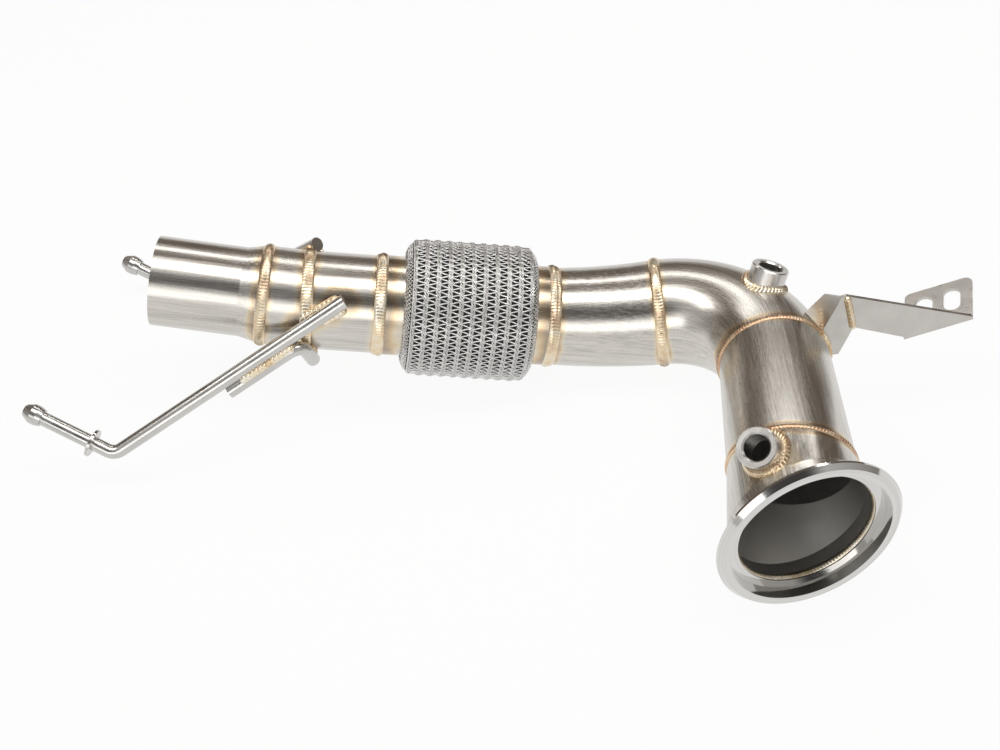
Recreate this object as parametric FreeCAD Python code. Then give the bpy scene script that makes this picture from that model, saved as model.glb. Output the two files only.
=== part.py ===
"""A turbocharger downpipe: stainless pipe with a flex section, a V-band inlet, sensor bungs and hangers.

It is drawn with the middle of the flex section at the origin: +X runs along the flex axis to the inlet,
+Y points away from the side that carries the inlet, +Z points up. The finished pieces are then laid down
on the flange rim, the flex section and the rear hanger, with the middle of the outlet's end as the origin.
Lengths are in millimetres and angles in degrees.
"""
import FreeCAD
import Part
import math
import os

# Pipe run
PIPE_WALL = 1.5
MAIN_RADIUS = 35.0
OUTLET_RADIUS = 31.75
OUTLET_LENGTH = 76.5
OUTLET_FLARE = 15.0
OUTLET_YAW = 3.8
OUTLET_PITCH = 1.6
MITRE_LENGTH = 30.7
MITRE_PITCH = 3.4
HANGER_PIPE_LENGTH = 51.0
ELBOW_RADIUS = 38.1
REDUCER_LENGTH = 79.5
REDUCER_START = 2.0
REDUCER_TURN = 13.2
REDUCER_ROLL = 8.3
REDUCER_STEPS = 8
ELBOW_BEND_RADIUS = 74.5
ELBOW_TURN = 83.4
ELBOW_ROLL = 0.3
CONE_KINK = 8.2
CONE_LENGTH = 104.0
CONE_RADIUS = 41.0
CONE_END_YAW = -3.1
CONE_END_RISE = -7.5
NECK_LENGTH = 41.2
NECK_YAW = 6.9
NECK_RISE = -11.9
NECK_RADIUS = 47.0
NECK_STRAIGHT = 9.0
FLANGE_YAW = 16.6
FLANGE_RISE = 1.9

# Flex section
BRAID_LENGTH = 94.0
BRAID_RISE = 13.6
BRAID_WALL = 2.2
BRAID_CORNER = 11.0
BRAID_MOUTH_GAP = 1.7
RIB_HEIGHT = 1.3
RIB_COUNT = 9
GAPS_AROUND = 12
GAP_DIAMETER = 2.4
BELLOWS_WALL = 0.5
BELLOWS_CREST_RISE = 9.5
BELLOWS_WAVES = 10
LINER_WALL = 0.8
LINER_LENGTH = 84.0
LINER_BEADS = 12
LINER_BEAD_HEIGHT = 0.5
LINER_BEAD_FOOT = 0.25
LINER_BEAD_SHOULDER = 0.35
COLLAR_RAISE = 0.6
COLLAR_REAR_LENGTH = 16.5
COLLAR_FRONT_LENGTH = 12.5
COLLAR_SPIGOT = 8.0
RUNNING_GAP = 0.3

# Inlet flange
FLANGE_RADIUS = 61.0
FLANGE_DEPTH = 13.5
FLANGE_EDGE = 1.6
FLANGE_CHAMFER = 2.7
FLANGE_FACE_WIDTH = 5.4
FLANGE_BACK_RADIUS = 51.0
FLANGE_BACK_START = 4.8
FLANGE_BACK_END = 10.5
FLANGE_RECESS_DEPTH = 8.0
FLANGE_RECESS_TAPER = 1.4
FLANGE_SEAT_WIDTH = 5.4
FLANGE_BORE_RADIUS = 45.5

# Sensor bungs
BUNG_RADIUS = 13.0
BUNG_BORE_RADIUS = 8.25
BUNG_CHAMFER = 1.1
BUNG_EDGE = 0.7
BUNG_SINK = 3.0
UPPER_BUNG_TURN = 55.0
UPPER_BUNG_ROLL = 63.0
UPPER_BUNG_HEIGHT = 12.0
LOWER_BUNG_ALONG = 9.2
LOWER_BUNG_ROLL = 40.5
LOWER_BUNG_LEAN = 17.5
LOWER_BUNG_HEIGHT = 18.0
BUNG_WELD_WIDTH = 3.4
BUNG_WELD_HEIGHT = 1.8

# Hangers
ROD_RADIUS = 5.0
ROD_BEND_RADIUS = 9.5
ROD_GAP = 0.02
ROD_NOTCH = 0.3
FRONT_HANGER_BACK = 54.2
FRONT_HANGER_ROLL = 65.3
FRONT_HANGER_SLANT = 38.3
FRONT_HANGER_HEEL = 16.0
FRONT_HANGER_REACH = 178.3
REAR_HANGER_BACK = 69.4
REAR_HANGER_ROLL = -60.5
REAR_HANGER_SLANT = 54.9
REAR_HANGER_HEEL = 10.3
REAR_HANGER_REACH = 139.3
FRONT_PIN_LENGTH = 70.0
REAR_PIN_LENGTH = 72.8
PIN_YAW = 19.2
PIN_RISE = 13.3
TIP_LENGTH = 13.8
TIP_NOSE_RADIUS = 4.8
TIP_MIDDLE_RADIUS = 7.2
TIP_BACK_RADIUS = 6.2
TIP_SHOULDER = 0.72
TIP_WAIST = 0.42
TIP_EDGE = 0.08
TIP_FLAT = 0.8
WASHER_PLACE = 16.2
WASHER_RADIUS = 10.0
WASHER_THICKNESS = 2.0
BRACE_START = 87.7
BRACE_BEND = 27.0
BRACE_ROLL = 5.0
BRACE_FOOT_BACK = 61.0
BRACE_FOOT_ROLL = 135.0
BRACE_FOOT_LIFT = 2.5
BRACE_FOOT_BEAD = 7.0
BRACE_BEAD_FRONT = 6.0
BRACE_BEAD_BACK = 14.0
FRONT_BEAD_BACK = 11.0
FRONT_BEAD_UPPER = 15.0
FRONT_BEAD_LOWER = 4.0
REAR_BEAD_REACH = 8.0
ROD_BEAD_DROP = 4.0
ROD_BEAD_SIDE = 4.75
BRACE_FOOT_RISE = 1.6
BRACE_BEAD_SIDE = 2.7

# Bracket, with its (x, z) points taken from the middle of the elbow's end
SHEET = 2.5
BRACKET_SIDE = 0.4
BASE_FOLD_FOOT = (26.5, 24.0)
BASE_FOLD_TOP = (33.0, 57.3)
BASE_JOINT_TOP = (35.8, 58.3)
BASE_JOINT_FOOT = (47.5, 32.8)
BASE_TOE = (43.4, 9.0)
BASE_INNER = (33.0, 6.0)
BASE_LEG = (BASE_JOINT_TOP, BASE_JOINT_FOOT, BASE_TOE, BASE_INNER)
BASE_BEAD_WIDTH = 3.2
BASE_SHADOW = (11.0, 32.0)
BASE_SHADOW_DEPTH = 12.8
BASE_WING_WIDTH = 19.0
BASE_WING_TOP_WIDTH = 12.0
BASE_WING_TOP_DROP = 7.0
BASE_WING_FOLD = 45.0
ARM_TOP_END = (126.1, 48.9)
ARM_FOLD_START = (84.1, 27.5)
ARM_BEAD_INSET = 2.0
TAB_WIDTH = 41.0
TAB_SWEEP = 15.0
TAB_CORNER = 5.0
SLOT_WIDTH = 11.3
SLOT_LENGTH = 22.0
SLOT_FIRST = 13.8
SLOT_SPACING = 19.2
SLOT_ACROSS = 23.2

# Weld beads
BEAD_WIDTH = 7.0
BEAD_HEIGHT = 1.1
BEAD_ROOT = 0.9
ELBOW_BEAD_LIFT = 0.08
CONE_BEAD_LIFT = 0.34
THIN_BEAD_WIDTH = 4.4
INNER_BEAD_WIDTH = 4.2
INNER_BEAD_HEIGHT = 1.3
INNER_BEAD_PLACE = 11.0
FILLET_BEAD_RADIUS = 2.6

# How the part lies at rest
LAY_ROLL = -6.83
LAY_PITCH = 10.76

X = FreeCAD.Vector(1, 0, 0)
Y = FreeCAD.Vector(0, 1, 0)
Z = FreeCAD.Vector(0, 0, 1)


def unit(vector):
    """The direction of a vector, at length one."""
    return FreeCAD.Vector(vector).normalize()


def spun(vector, axis, degrees):
    """A vector turned about an axis."""
    return FreeCAD.Rotation(axis, degrees).multVec(vector)


def swung(way, yaw, rise):
    """A direction swung round by yaw and lifted by rise."""
    return spun(spun(way, unit(way.cross(Z)), rise), Z, yaw)


class Ring:
    """One round section of the pipe run: its middle, the way the pipe runs on, and its outer radius."""

    def __init__(self, middle, along, radius):
        self.middle = middle
        self.along = unit(along)
        self.radius = radius

    def wire(self, inset=0.0):
        circle = Part.Circle(self.middle, self.along, self.radius - inset)
        circle.XAxis = unit(self.along.cross(Z))
        return Part.Wire(circle.toShape())

    def moved(self, length, radius=None):
        return Ring(self.middle + self.along * length, self.along, self.radius if radius is None else radius)


def solid_run(rings, inset=0.0):
    """The full solid inside a run of rings, drawn in by inset."""
    pieces = []
    for first, last in zip(rings, rings[1:]):
        pieces.append(Part.makeLoft([first.wire(inset), last.wire(inset)], True, True))
    run = pieces[0]
    for piece in pieces[1:]:
        run = run.fuse(piece)
    return run.removeSplitter()


def pipe_run(rings):
    """A pipe of the standard wall through a run of rings."""
    return solid_run(rings).cut(solid_run(rings, PIPE_WALL))


def turned_profile(points, middle, along):
    """A solid of revolution: points are (place along the axis, radius), closed into a loop."""
    side = unit(along.cross(Z if abs(unit(along).dot(Z)) < 0.9 else X))
    corners = [middle + along * place + side * radius for place, radius in points]
    face = Part.Face(Part.makePolygon(corners + corners[:1]))
    return face.revolve(middle, along, 360)


def cap_bead(ring, width, height, root):
    """A weld bead round a ring: a low rounded cap, with a root that reaches into the joint if it has one."""
    side = unit(ring.along.cross(Z))
    foot = ring.middle + side * ring.radius
    start = foot - ring.along * (width / 2)
    crest = foot + side * height
    end = foot + ring.along * (width / 2)
    outline = [Part.Arc(start, crest, end).toShape()]
    corners = [end, start]
    if root:
        corners = [end, end - side * root, start - side * root, start]
    outline += [Part.LineSegment(one, two).toShape() for one, two in zip(corners, corners[1:])]
    return Part.Face(Part.Wire(outline)).revolve(ring.middle, ring.along, 360)


def rod_path(points, bend_radius):
    """A wire through points, with its corners rounded."""
    edges = []
    last = points[0]
    for before, corner, after in zip(points, points[1:], points[2:]):
        back = unit(before - corner)
        on = unit(after - corner)
        half = back.getAngle(on) / 2
        cut = bend_radius / math.tan(half)
        middle_way = unit(back + on)
        centre = corner + middle_way * (bend_radius / math.sin(half))
        start = corner + back * cut
        end = corner + on * cut
        edges.append(Part.LineSegment(last, start).toShape())
        edges.append(Part.Arc(start, centre - middle_way * bend_radius, end).toShape())
        last = end
    edges.append(Part.LineSegment(last, points[-1]).toShape())
    return Part.Wire(edges)


def rod(points, bend_radius=ROD_BEND_RADIUS, radius=ROD_RADIUS):
    """A round rod along a path with rounded corners."""
    path = rod_path(points, bend_radius)
    circle = Part.Wire(Part.Circle(points[0], points[1] - points[0], radius).toShape())
    return path.makePipeShell([circle], True, False)


def bar(start, end, radius):
    """A straight round bar with rounded ends, used for weld beads laid in a crevice."""
    body = Part.makeCylinder(radius, (end - start).Length, start, end - start)
    return body.fuse(Part.makeSphere(radius, start)).fuse(Part.makeSphere(radius, end)).removeSplitter()


def plate(corners, thickness):
    """A flat plate from its corner points and a thickness vector."""
    return Part.Face(Part.makePolygon(corners + corners[:1])).extrude(thickness)


# The pipe run as rings, from the flex section outwards
BRAID_RADIUS = MAIN_RADIUS + BRAID_RISE
BRAID_MOUTH_RADIUS = MAIN_RADIUS + COLLAR_RAISE + BRAID_MOUTH_GAP
BELLOWS_CREST_RADIUS = MAIN_RADIUS + BELLOWS_CREST_RISE
REAR_COLLAR_END = -(BRAID_LENGTH / 2 + COLLAR_REAR_LENGTH)
FRONT_COLLAR_END = BRAID_LENGTH / 2 + COLLAR_FRONT_LENGTH


def outlet_rings():
    """Rings on the outlet side: the collar end, the mitre joint, the outlet joint, the flare and the end."""
    collar = Ring(X * REAR_COLLAR_END, X, MAIN_RADIUS)
    mitre = collar.moved(-HANGER_PIPE_LENGTH)
    along = spun(X, Y, MITRE_PITCH)
    outlet = Ring(mitre.middle - along * MITRE_LENGTH, along, MAIN_RADIUS)
    along = spun(spun(X, Y, OUTLET_PITCH), Z, -OUTLET_YAW)
    outlet.along = unit(along + outlet.along)
    flare = Ring(outlet.middle - along * OUTLET_FLARE, along, OUTLET_RADIUS)
    end = flare.moved(OUTLET_FLARE - OUTLET_LENGTH)
    return collar, mitre, outlet, flare, end


def arc_rings(start, bend_middle, axis, turn, radius_end, count):
    """Rings along a bend, from a first ring to one turned about an axis, with a changing radius."""
    rings = []
    for step in range(count + 1):
        share = step / count
        spin = FreeCAD.Rotation(axis, turn * share)
        middle = bend_middle + spin.multVec(start.middle - bend_middle)
        radius = start.radius + (radius_end - start.radius) * share
        rings.append(Ring(middle, spin.multVec(start.along), radius))
    return rings



def reducer_rings():
    """Rings of the reducing bend between the flex section and the elbow."""
    rise_way = spun(Z, X, REDUCER_ROLL)
    axis = X.cross(rise_way)
    start = Ring(X * FRONT_COLLAR_END, spun(X, axis, REDUCER_START), MAIN_RADIUS)
    bend_radius = REDUCER_LENGTH / math.radians(REDUCER_TURN)
    middle = start.middle + axis.cross(start.along) * bend_radius
    rings = arc_rings(start, middle, axis, REDUCER_TURN, ELBOW_RADIUS, REDUCER_STEPS)
    rings[0].along = X
    return rings


def elbow_frame():
    """The start of the elbow, the middle of its bend and the axis that it turns about."""
    start = reducer_rings()[-1]
    axis = spun(unit(Y.cross(start.along)), start.along, ELBOW_ROLL)
    toward = unit(axis.cross(start.along))
    return start, start.middle + toward * ELBOW_BEND_RADIUS, axis


def elbow_ring(turn):
    """The ring at a given turn along the elbow."""
    start, middle, axis = elbow_frame()
    return arc_rings(start, middle, axis, turn, ELBOW_RADIUS, 1)[-1]


def inlet_rings():
    """Rings on the inlet side after the elbow: the cone's two ends, the neck and the flange."""
    axis = elbow_frame()[2]
    top = elbow_ring(ELBOW_TURN)
    along = spun(top.along, axis, CONE_KINK)
    low = Ring(top.middle + along * CONE_LENGTH, swung(along, CONE_END_YAW, CONE_END_RISE), CONE_RADIUS)
    hub_middle = low.middle + swung(along, NECK_YAW, NECK_RISE) * NECK_LENGTH
    hub = Ring(hub_middle, swung(along, FLANGE_YAW, FLANGE_RISE), NECK_RADIUS)
    shoulder = hub.moved(-NECK_STRAIGHT)
    return top, low, shoulder, hub


def flange_face():
    """The ring of the inlet face, at the front of the flange."""
    return inlet_rings()[-1].moved(FLANGE_DEPTH, FLANGE_RADIUS)


def outlet_pipe():
    collar, mitre, outlet, flare, end = outlet_rings()
    return pipe_run([end, flare, outlet])


def mitre_ring():
    collar, mitre, outlet, flare, end = outlet_rings()
    return pipe_run([outlet, mitre])


def hanger_pipe():
    collar, mitre, outlet, flare, end = outlet_rings()
    return pipe_run([mitre, collar])


def flex_collar(end_place):
    """The collar that caps one end of the flex section and carries the pipe's end."""
    way = 1 if end_place > 0 else -1
    outside = MAIN_RADIUS + COLLAR_RAISE
    spigot = way * (BRAID_LENGTH / 2 - COLLAR_SPIGOT)
    inside = MAIN_RADIUS - PIPE_WALL
    return turned_profile([(end_place, inside), (end_place, outside), (spigot, outside), (spigot, inside)],
                          FreeCAD.Vector(), X)


def braid_outline(inset):
    """Half of the braid's side in the XZ plane, from end to end, drawn in by inset, as edges."""
    end = BRAID_LENGTH / 2 - inset
    radius = BRAID_RADIUS - inset
    corner = BRAID_CORNER - inset
    diagonal = corner * (1 - math.sqrt(0.5))
    edges = []
    left_start = FreeCAD.Vector(-end, 0, BRAID_MOUTH_RADIUS)
    left_foot = FreeCAD.Vector(-end, 0, radius - corner)
    left_bulge = FreeCAD.Vector(-end + diagonal, 0, radius - diagonal)
    left_top = FreeCAD.Vector(-end + corner, 0, radius)
    edges.append(Part.LineSegment(left_start, left_foot).toShape())
    edges.append(Part.Arc(left_foot, left_bulge, left_top).toShape())
    pitch = 2 * (end - corner) / RIB_COUNT
    place = left_top
    for _ in range(RIB_COUNT):
        crest = place + FreeCAD.Vector(pitch / 2, 0, RIB_HEIGHT)
        foot = place + FreeCAD.Vector(pitch, 0, 0)
        if inset:
            edges.append(Part.LineSegment(place, foot).toShape())
        else:
            edges.append(Part.Arc(place, crest, foot).toShape())
        place = foot
    right_bulge = FreeCAD.Vector(end - diagonal, 0, radius - diagonal)
    right_foot = FreeCAD.Vector(end, 0, radius - corner)
    right_start = FreeCAD.Vector(end, 0, BRAID_MOUTH_RADIUS)
    edges.append(Part.Arc(place, right_bulge, right_foot).toShape())
    edges.append(Part.LineSegment(right_foot, right_start).toShape())
    return edges


def flex_braid():
    """The woven sleeve: rounded ribs round a barrel with rolled ends, and rows of gaps between the ribs."""
    outside = braid_outline(0.0)
    inside = braid_outline(BRAID_WALL)
    left = Part.LineSegment(FreeCAD.Vector(-BRAID_LENGTH / 2, 0, BRAID_MOUTH_RADIUS),
                            FreeCAD.Vector(-BRAID_LENGTH / 2 + BRAID_WALL, 0, BRAID_MOUTH_RADIUS)).toShape()
    right = Part.LineSegment(FreeCAD.Vector(BRAID_LENGTH / 2 - BRAID_WALL, 0, BRAID_MOUTH_RADIUS),
                             FreeCAD.Vector(BRAID_LENGTH / 2, 0, BRAID_MOUTH_RADIUS)).toShape()
    outline = Part.Wire(Part.__sortEdges__(outside + inside + [left, right]))
    sleeve = Part.Face(outline).revolve(FreeCAD.Vector(), X, 360)
    pitch = 2 * (BRAID_LENGTH / 2 - BRAID_CORNER) / RIB_COUNT
    cutters = []
    for row in range(1, RIB_COUNT):
        place = -BRAID_LENGTH / 2 + BRAID_CORNER + row * pitch
        for step in range(GAPS_AROUND):
            way = spun(Z, X, (step + 0.5 * (row % 2)) * 360 / GAPS_AROUND)
            start = X * place + way * (BRAID_RADIUS - 2 * BRAID_WALL)
            cutters.append(Part.makeCylinder(GAP_DIAMETER / 2, 3 * BRAID_WALL, start, way))
    return sleeve.cut(Part.makeCompound(cutters))


def flex_bellows():
    """The gas-tight bellows under the braid: a thin tube of even waves between two plain cuffs."""
    cuff = BRAID_LENGTH / 2 - BRAID_WALL - RUNNING_GAP
    waves_end = BRAID_LENGTH / 2 - COLLAR_SPIGOT - RUNNING_GAP
    trough = MAIN_RADIUS + COLLAR_RAISE + RUNNING_GAP
    pitch = 2 * waves_end / (2 * BELLOWS_WAVES)
    upper = [(-cuff, trough + BELLOWS_WALL), (-waves_end, trough + BELLOWS_WALL)]
    lower = [(-cuff, trough), (-waves_end, trough)]
    for step in range(1, 2 * BELLOWS_WAVES):
        high = BELLOWS_CREST_RADIUS if step % 2 else trough + BELLOWS_WALL
        upper.append((-waves_end + step * pitch, high))
        lower.append((-waves_end + step * pitch, high - BELLOWS_WALL))
    upper += [(waves_end, trough + BELLOWS_WALL), (cuff, trough + BELLOWS_WALL)]
    lower += [(waves_end, trough), (cuff, trough)]
    return turned_profile(upper + lower[::-1], FreeCAD.Vector(), X)


def flex_liner():
    """The inner liner that shields the bellows from the gas: a sleeve with shallow raised rings."""
    outside = MAIN_RADIUS - PIPE_WALL - RUNNING_GAP
    inside = outside - LINER_WALL
    end = LINER_LENGTH / 2
    reach = BRAID_LENGTH / 2 - COLLAR_SPIGOT - 2 * RUNNING_GAP
    pitch = 2 * reach / LINER_BEADS
    outline = [(-end, inside), (-end, outside), (-reach, outside)]
    for step in range(LINER_BEADS):
        start = -reach + step * pitch
        outline.append((start + pitch * LINER_BEAD_FOOT, outside))
        outline.append((start + pitch * LINER_BEAD_SHOULDER, outside + LINER_BEAD_HEIGHT))
        outline.append((start + pitch * (1 - LINER_BEAD_SHOULDER), outside + LINER_BEAD_HEIGHT))
        outline.append((start + pitch * (1 - LINER_BEAD_FOOT), outside))
    outline += [(reach, outside), (end, outside), (end, inside)]
    return turned_profile(outline, FreeCAD.Vector(), X)


def reducer_pipe():
    return pipe_run(reducer_rings())


def elbow_solid(inset=0.0):
    """The elbow's outer solid, or its hollow when drawn in by the wall."""
    start, middle, axis = elbow_frame()
    face = Part.Face(start.wire(inset))
    return face.revolve(middle, axis, ELBOW_TURN)


def inlet_solid():
    """The outer solid of the cone and the neck."""
    top, low, shoulder, hub = inlet_rings()
    return solid_run([top, low, shoulder, hub])


def bung_frames():
    """For each bung: the point on the pipe's skin under its middle, its direction and its height."""
    ring = elbow_ring(UPPER_BUNG_TURN)
    _, middle, axis = elbow_frame()
    outward = unit(ring.middle - middle)
    upper_way = outward * math.cos(math.radians(UPPER_BUNG_ROLL))
    upper_way = upper_way - axis * math.sin(math.radians(UPPER_BUNG_ROLL))
    upper = (ring.middle + upper_way * ELBOW_RADIUS, upper_way, UPPER_BUNG_HEIGHT)
    top, low, shoulder, hub = inlet_rings()
    along = unit(shoulder.middle - low.middle)
    side = unit(along.cross(Z))
    radial = spun(unit(side.cross(along)), along, LOWER_BUNG_ROLL)
    share = LOWER_BUNG_ALONG / (shoulder.middle - low.middle).Length
    radius = low.radius + (shoulder.radius - low.radius) * share
    skin = low.middle + along * LOWER_BUNG_ALONG + radial * radius
    lean = math.radians(LOWER_BUNG_LEAN)
    lower_way = unit(radial * math.cos(lean) + hub.along * math.sin(lean))
    return upper, (skin, lower_way, LOWER_BUNG_HEIGHT)


def bung_cutter(frame, radius=BUNG_RADIUS):
    """The round hole that a bung sits in, or a wider one that clears its weld as well."""
    skin, way, height = frame
    depth = 2 * BUNG_RADIUS
    return Part.makeCylinder(radius, depth, skin - way * depth / 2, way)


def sensor_bung(frame):
    """A threaded boss: a short turned tube with a chamfered mouth and a broken outer edge."""
    skin, way, height = frame
    outline = [(-BUNG_SINK, BUNG_BORE_RADIUS), (-BUNG_SINK, BUNG_RADIUS), (height - BUNG_EDGE, BUNG_RADIUS),
               (height, BUNG_RADIUS - BUNG_EDGE), (height, BUNG_BORE_RADIUS + BUNG_CHAMFER),
               (height - BUNG_CHAMFER, BUNG_BORE_RADIUS)]
    return turned_profile(outline, skin, way)


def bung_weld(frame, skin_solid, raised_solid):
    """The weld round a bung's foot: a collar that follows the pipe's skin."""
    skin, way, height = frame
    start = skin - way * BUNG_RADIUS
    reach = 2 * BUNG_RADIUS
    outer = Part.makeCylinder(BUNG_RADIUS + BUNG_WELD_WIDTH, reach, start, way)
    collar = outer.cut(Part.makeCylinder(BUNG_RADIUS, reach, start, way))
    return collar.common(raised_solid).cut(skin_solid)


def elbow_pipe():
    upper, lower = bung_frames()
    return elbow_solid().cut(elbow_solid(PIPE_WALL)).cut(bung_cutter(upper))


def inlet_cone():
    top, low, shoulder, hub = inlet_rings()
    upper, lower = bung_frames()
    return pipe_run([top, low]).cut(bung_cutter(lower))


def inlet_neck():
    top, low, shoulder, hub = inlet_rings()
    upper, lower = bung_frames()
    return pipe_run([low, shoulder, hub]).cut(bung_cutter(lower))


def vband_flange():
    """The turned inlet flange: a flat rim round a recessed seat, and a tapered back for the clamp."""
    face = flange_face()
    rim_inside = FLANGE_RADIUS - FLANGE_CHAMFER - FLANGE_FACE_WIDTH
    seat_outside = rim_inside - FLANGE_RECESS_TAPER
    outline = [(-FLANGE_DEPTH, FLANGE_BORE_RADIUS), (-FLANGE_DEPTH, NECK_RADIUS),
               (-FLANGE_BACK_END, FLANGE_BACK_RADIUS),
               (-FLANGE_BACK_START, FLANGE_RADIUS), (-FLANGE_BACK_START + FLANGE_EDGE, FLANGE_RADIUS),
               (0.0, FLANGE_RADIUS - FLANGE_CHAMFER), (0.0, rim_inside),
               (-FLANGE_RECESS_DEPTH, seat_outside), (-FLANGE_RECESS_DEPTH, FLANGE_BORE_RADIUS)]
    return turned_profile(outline, face.middle, face.along)


def hanger_points(back, roll, slant, heel, reach, pin_length):
    """Where a hanger rod touches the pipe, its direction, and its free end, its bend and its pin's end."""
    radial = spun(Z, X, roll)
    round_way = spun(radial, X, 90 if roll > 0 else -90)
    contact = X * -(BRAID_LENGTH / 2 + back) + radial * (MAIN_RADIUS + ROD_RADIUS + ROD_GAP)
    way = unit(-X * math.cos(math.radians(slant)) + round_way * math.sin(math.radians(slant)))
    bend = contact + way * reach
    pin_way = spun(spun(-X, Z, -PIN_YAW), unit(spun(-X, Z, -PIN_YAW).cross(Z)), PIN_RISE)
    return contact, way, [contact - way * heel, bend, bend + pin_way * pin_length]


def front_hanger():
    return hanger_points(FRONT_HANGER_BACK, FRONT_HANGER_ROLL, FRONT_HANGER_SLANT, FRONT_HANGER_HEEL,
                         FRONT_HANGER_REACH, FRONT_PIN_LENGTH)


def rear_hanger():
    return hanger_points(REAR_HANGER_BACK, REAR_HANGER_ROLL, REAR_HANGER_SLANT, REAR_HANGER_HEEL,
                         REAR_HANGER_REACH, REAR_PIN_LENGTH)


def hanger_rod(points):
    """The bent rod, which ends where the pin's turned tip begins."""
    pin_way = unit(points[2] - points[1])
    return rod([points[0], points[1], points[2] - pin_way * TIP_LENGTH])


def hanger_tip(points):
    """The barrel-shaped tip that keeps the rubber mount on the pin."""
    pin_way = unit(points[2] - points[1])
    outline = [(-TIP_LENGTH, 0.0), (-TIP_LENGTH, TIP_BACK_RADIUS),
               (-TIP_LENGTH * TIP_SHOULDER, TIP_MIDDLE_RADIUS), (-TIP_LENGTH * TIP_WAIST, TIP_MIDDLE_RADIUS), (-TIP_LENGTH * TIP_EDGE, TIP_NOSE_RADIUS),
               (0.0, TIP_NOSE_RADIUS * TIP_FLAT), (0.0, 0.0)]
    return turned_profile(outline, points[2], pin_way)


def hanger_washer(points):
    """The thin disc on the pin that the rubber mount stops against."""
    pin_way = unit(points[2] - points[1])
    start = points[1] + pin_way * WASHER_PLACE
    disc = Part.makeCylinder(WASHER_RADIUS, WASHER_THICKNESS, start, pin_way)
    return disc.cut(Part.makeCylinder(ROD_RADIUS, WASHER_THICKNESS, start, pin_way))


def brace_side():
    """The direction from the front rod to the brace that is welded along it."""
    contact, way, points = front_hanger()
    return spun(unit(-Z + way * way.dot(Z)), way, BRACE_ROLL)


def brace_points():
    """The brace under the front rod: its free end, its bend and its foot below the pipe."""
    contact, way, points = front_hanger()
    offset = brace_side() * (2 * ROD_RADIUS + ROD_GAP)
    start = contact + way * BRACE_START + offset
    bend = contact + way * BRACE_BEND + offset
    foot_way = spun(Z, X, BRACE_FOOT_ROLL)
    foot = X * -(BRAID_LENGTH / 2 + BRACE_FOOT_BACK) + foot_way * (MAIN_RADIUS + ROD_RADIUS + BRACE_FOOT_LIFT)
    return [start, bend, foot]


def outlet_side_solid():
    """The outer solid of the straight pipe that the hangers are welded to."""
    collar, mitre, outlet, flare, end = outlet_rings()
    return solid_run([outlet, mitre, collar])


def rod_weld(contact, way, radial, start, end, sign):
    """A bead in the crevice between a rod and the pipe, on one side of the rod."""
    side = unit(way.cross(radial)) * sign
    place = contact - radial * ROD_BEAD_DROP + side * ROD_BEAD_SIDE
    return bar(place + way * start, place + way * end, FILLET_BEAD_RADIUS)


def front_hanger_weld(mitre_bead):
    """The beads on both sides of the front rod, where it lies against the pipe."""
    contact, way, points = front_hanger()
    radial = unit(FreeCAD.Vector(0, contact.y, contact.z))
    upper = rod_weld(contact, way, radial, -FRONT_BEAD_BACK, FRONT_BEAD_UPPER, 1)
    lower = rod_weld(contact, way, radial, -FRONT_BEAD_BACK, FRONT_BEAD_LOWER, -1)
    beads = upper.fuse(lower).cut(outlet_side_solid()).cut(hanger_rod(points))
    return beads.cut(rod(brace_points())).cut(mitre_bead)


def rear_hanger_weld(mitre_bead):
    """The beads on both sides of the rear rod, where it lies against the pipe."""
    contact, way, points = rear_hanger()
    radial = unit(FreeCAD.Vector(0, contact.y, contact.z))
    one = rod_weld(contact, way, radial, -REAR_BEAD_REACH, REAR_BEAD_REACH, 1)
    other = rod_weld(contact, way, radial, -REAR_BEAD_REACH, REAR_BEAD_REACH, -1)
    return one.fuse(other).cut(outlet_side_solid()).cut(hanger_rod(points)).cut(mitre_bead)


def brace_foot_weld(mitre_bead):
    """The bead that joins the brace's foot to the underside of the pipe."""
    start, bend, foot = brace_points()
    radial = unit(FreeCAD.Vector(0, foot.y, foot.z))
    place = FreeCAD.Vector(foot.x, 0, 0) + radial * (MAIN_RADIUS + BRACE_FOOT_RISE)
    back = unit(bend - foot)
    bead = bar(place - back, place + back * BRACE_FOOT_BEAD, FILLET_BEAD_RADIUS)
    return bead.cut(outlet_side_solid()).cut(rod([start, bend, foot])).cut(mitre_bead)


def front_brace_weld():
    """The long bead between the front rod and its brace, on the side that shows."""
    contact, way, points = front_hanger()
    below = brace_side()
    side = unit(way.cross(below))
    if side.y > 0:
        side = side * -1
    middle = contact + below * ROD_RADIUS + side * BRACE_BEAD_SIDE
    front = middle + way * (BRACE_BEND + BRACE_BEAD_FRONT)
    bead = bar(front, middle + way * (BRACE_START - BRACE_BEAD_BACK), FILLET_BEAD_RADIUS)
    return bead.cut(hanger_rod(points)).cut(rod(brace_points())).cut(outlet_side_solid())


def sheet_point(pair):
    """A point of the bracket's upright sheet from its (x, z) pair."""
    joint = elbow_ring(ELBOW_TURN).middle
    return FreeCAD.Vector(joint.x + pair[0], joint.y + BRACKET_SIDE, joint.z + pair[1])


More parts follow.
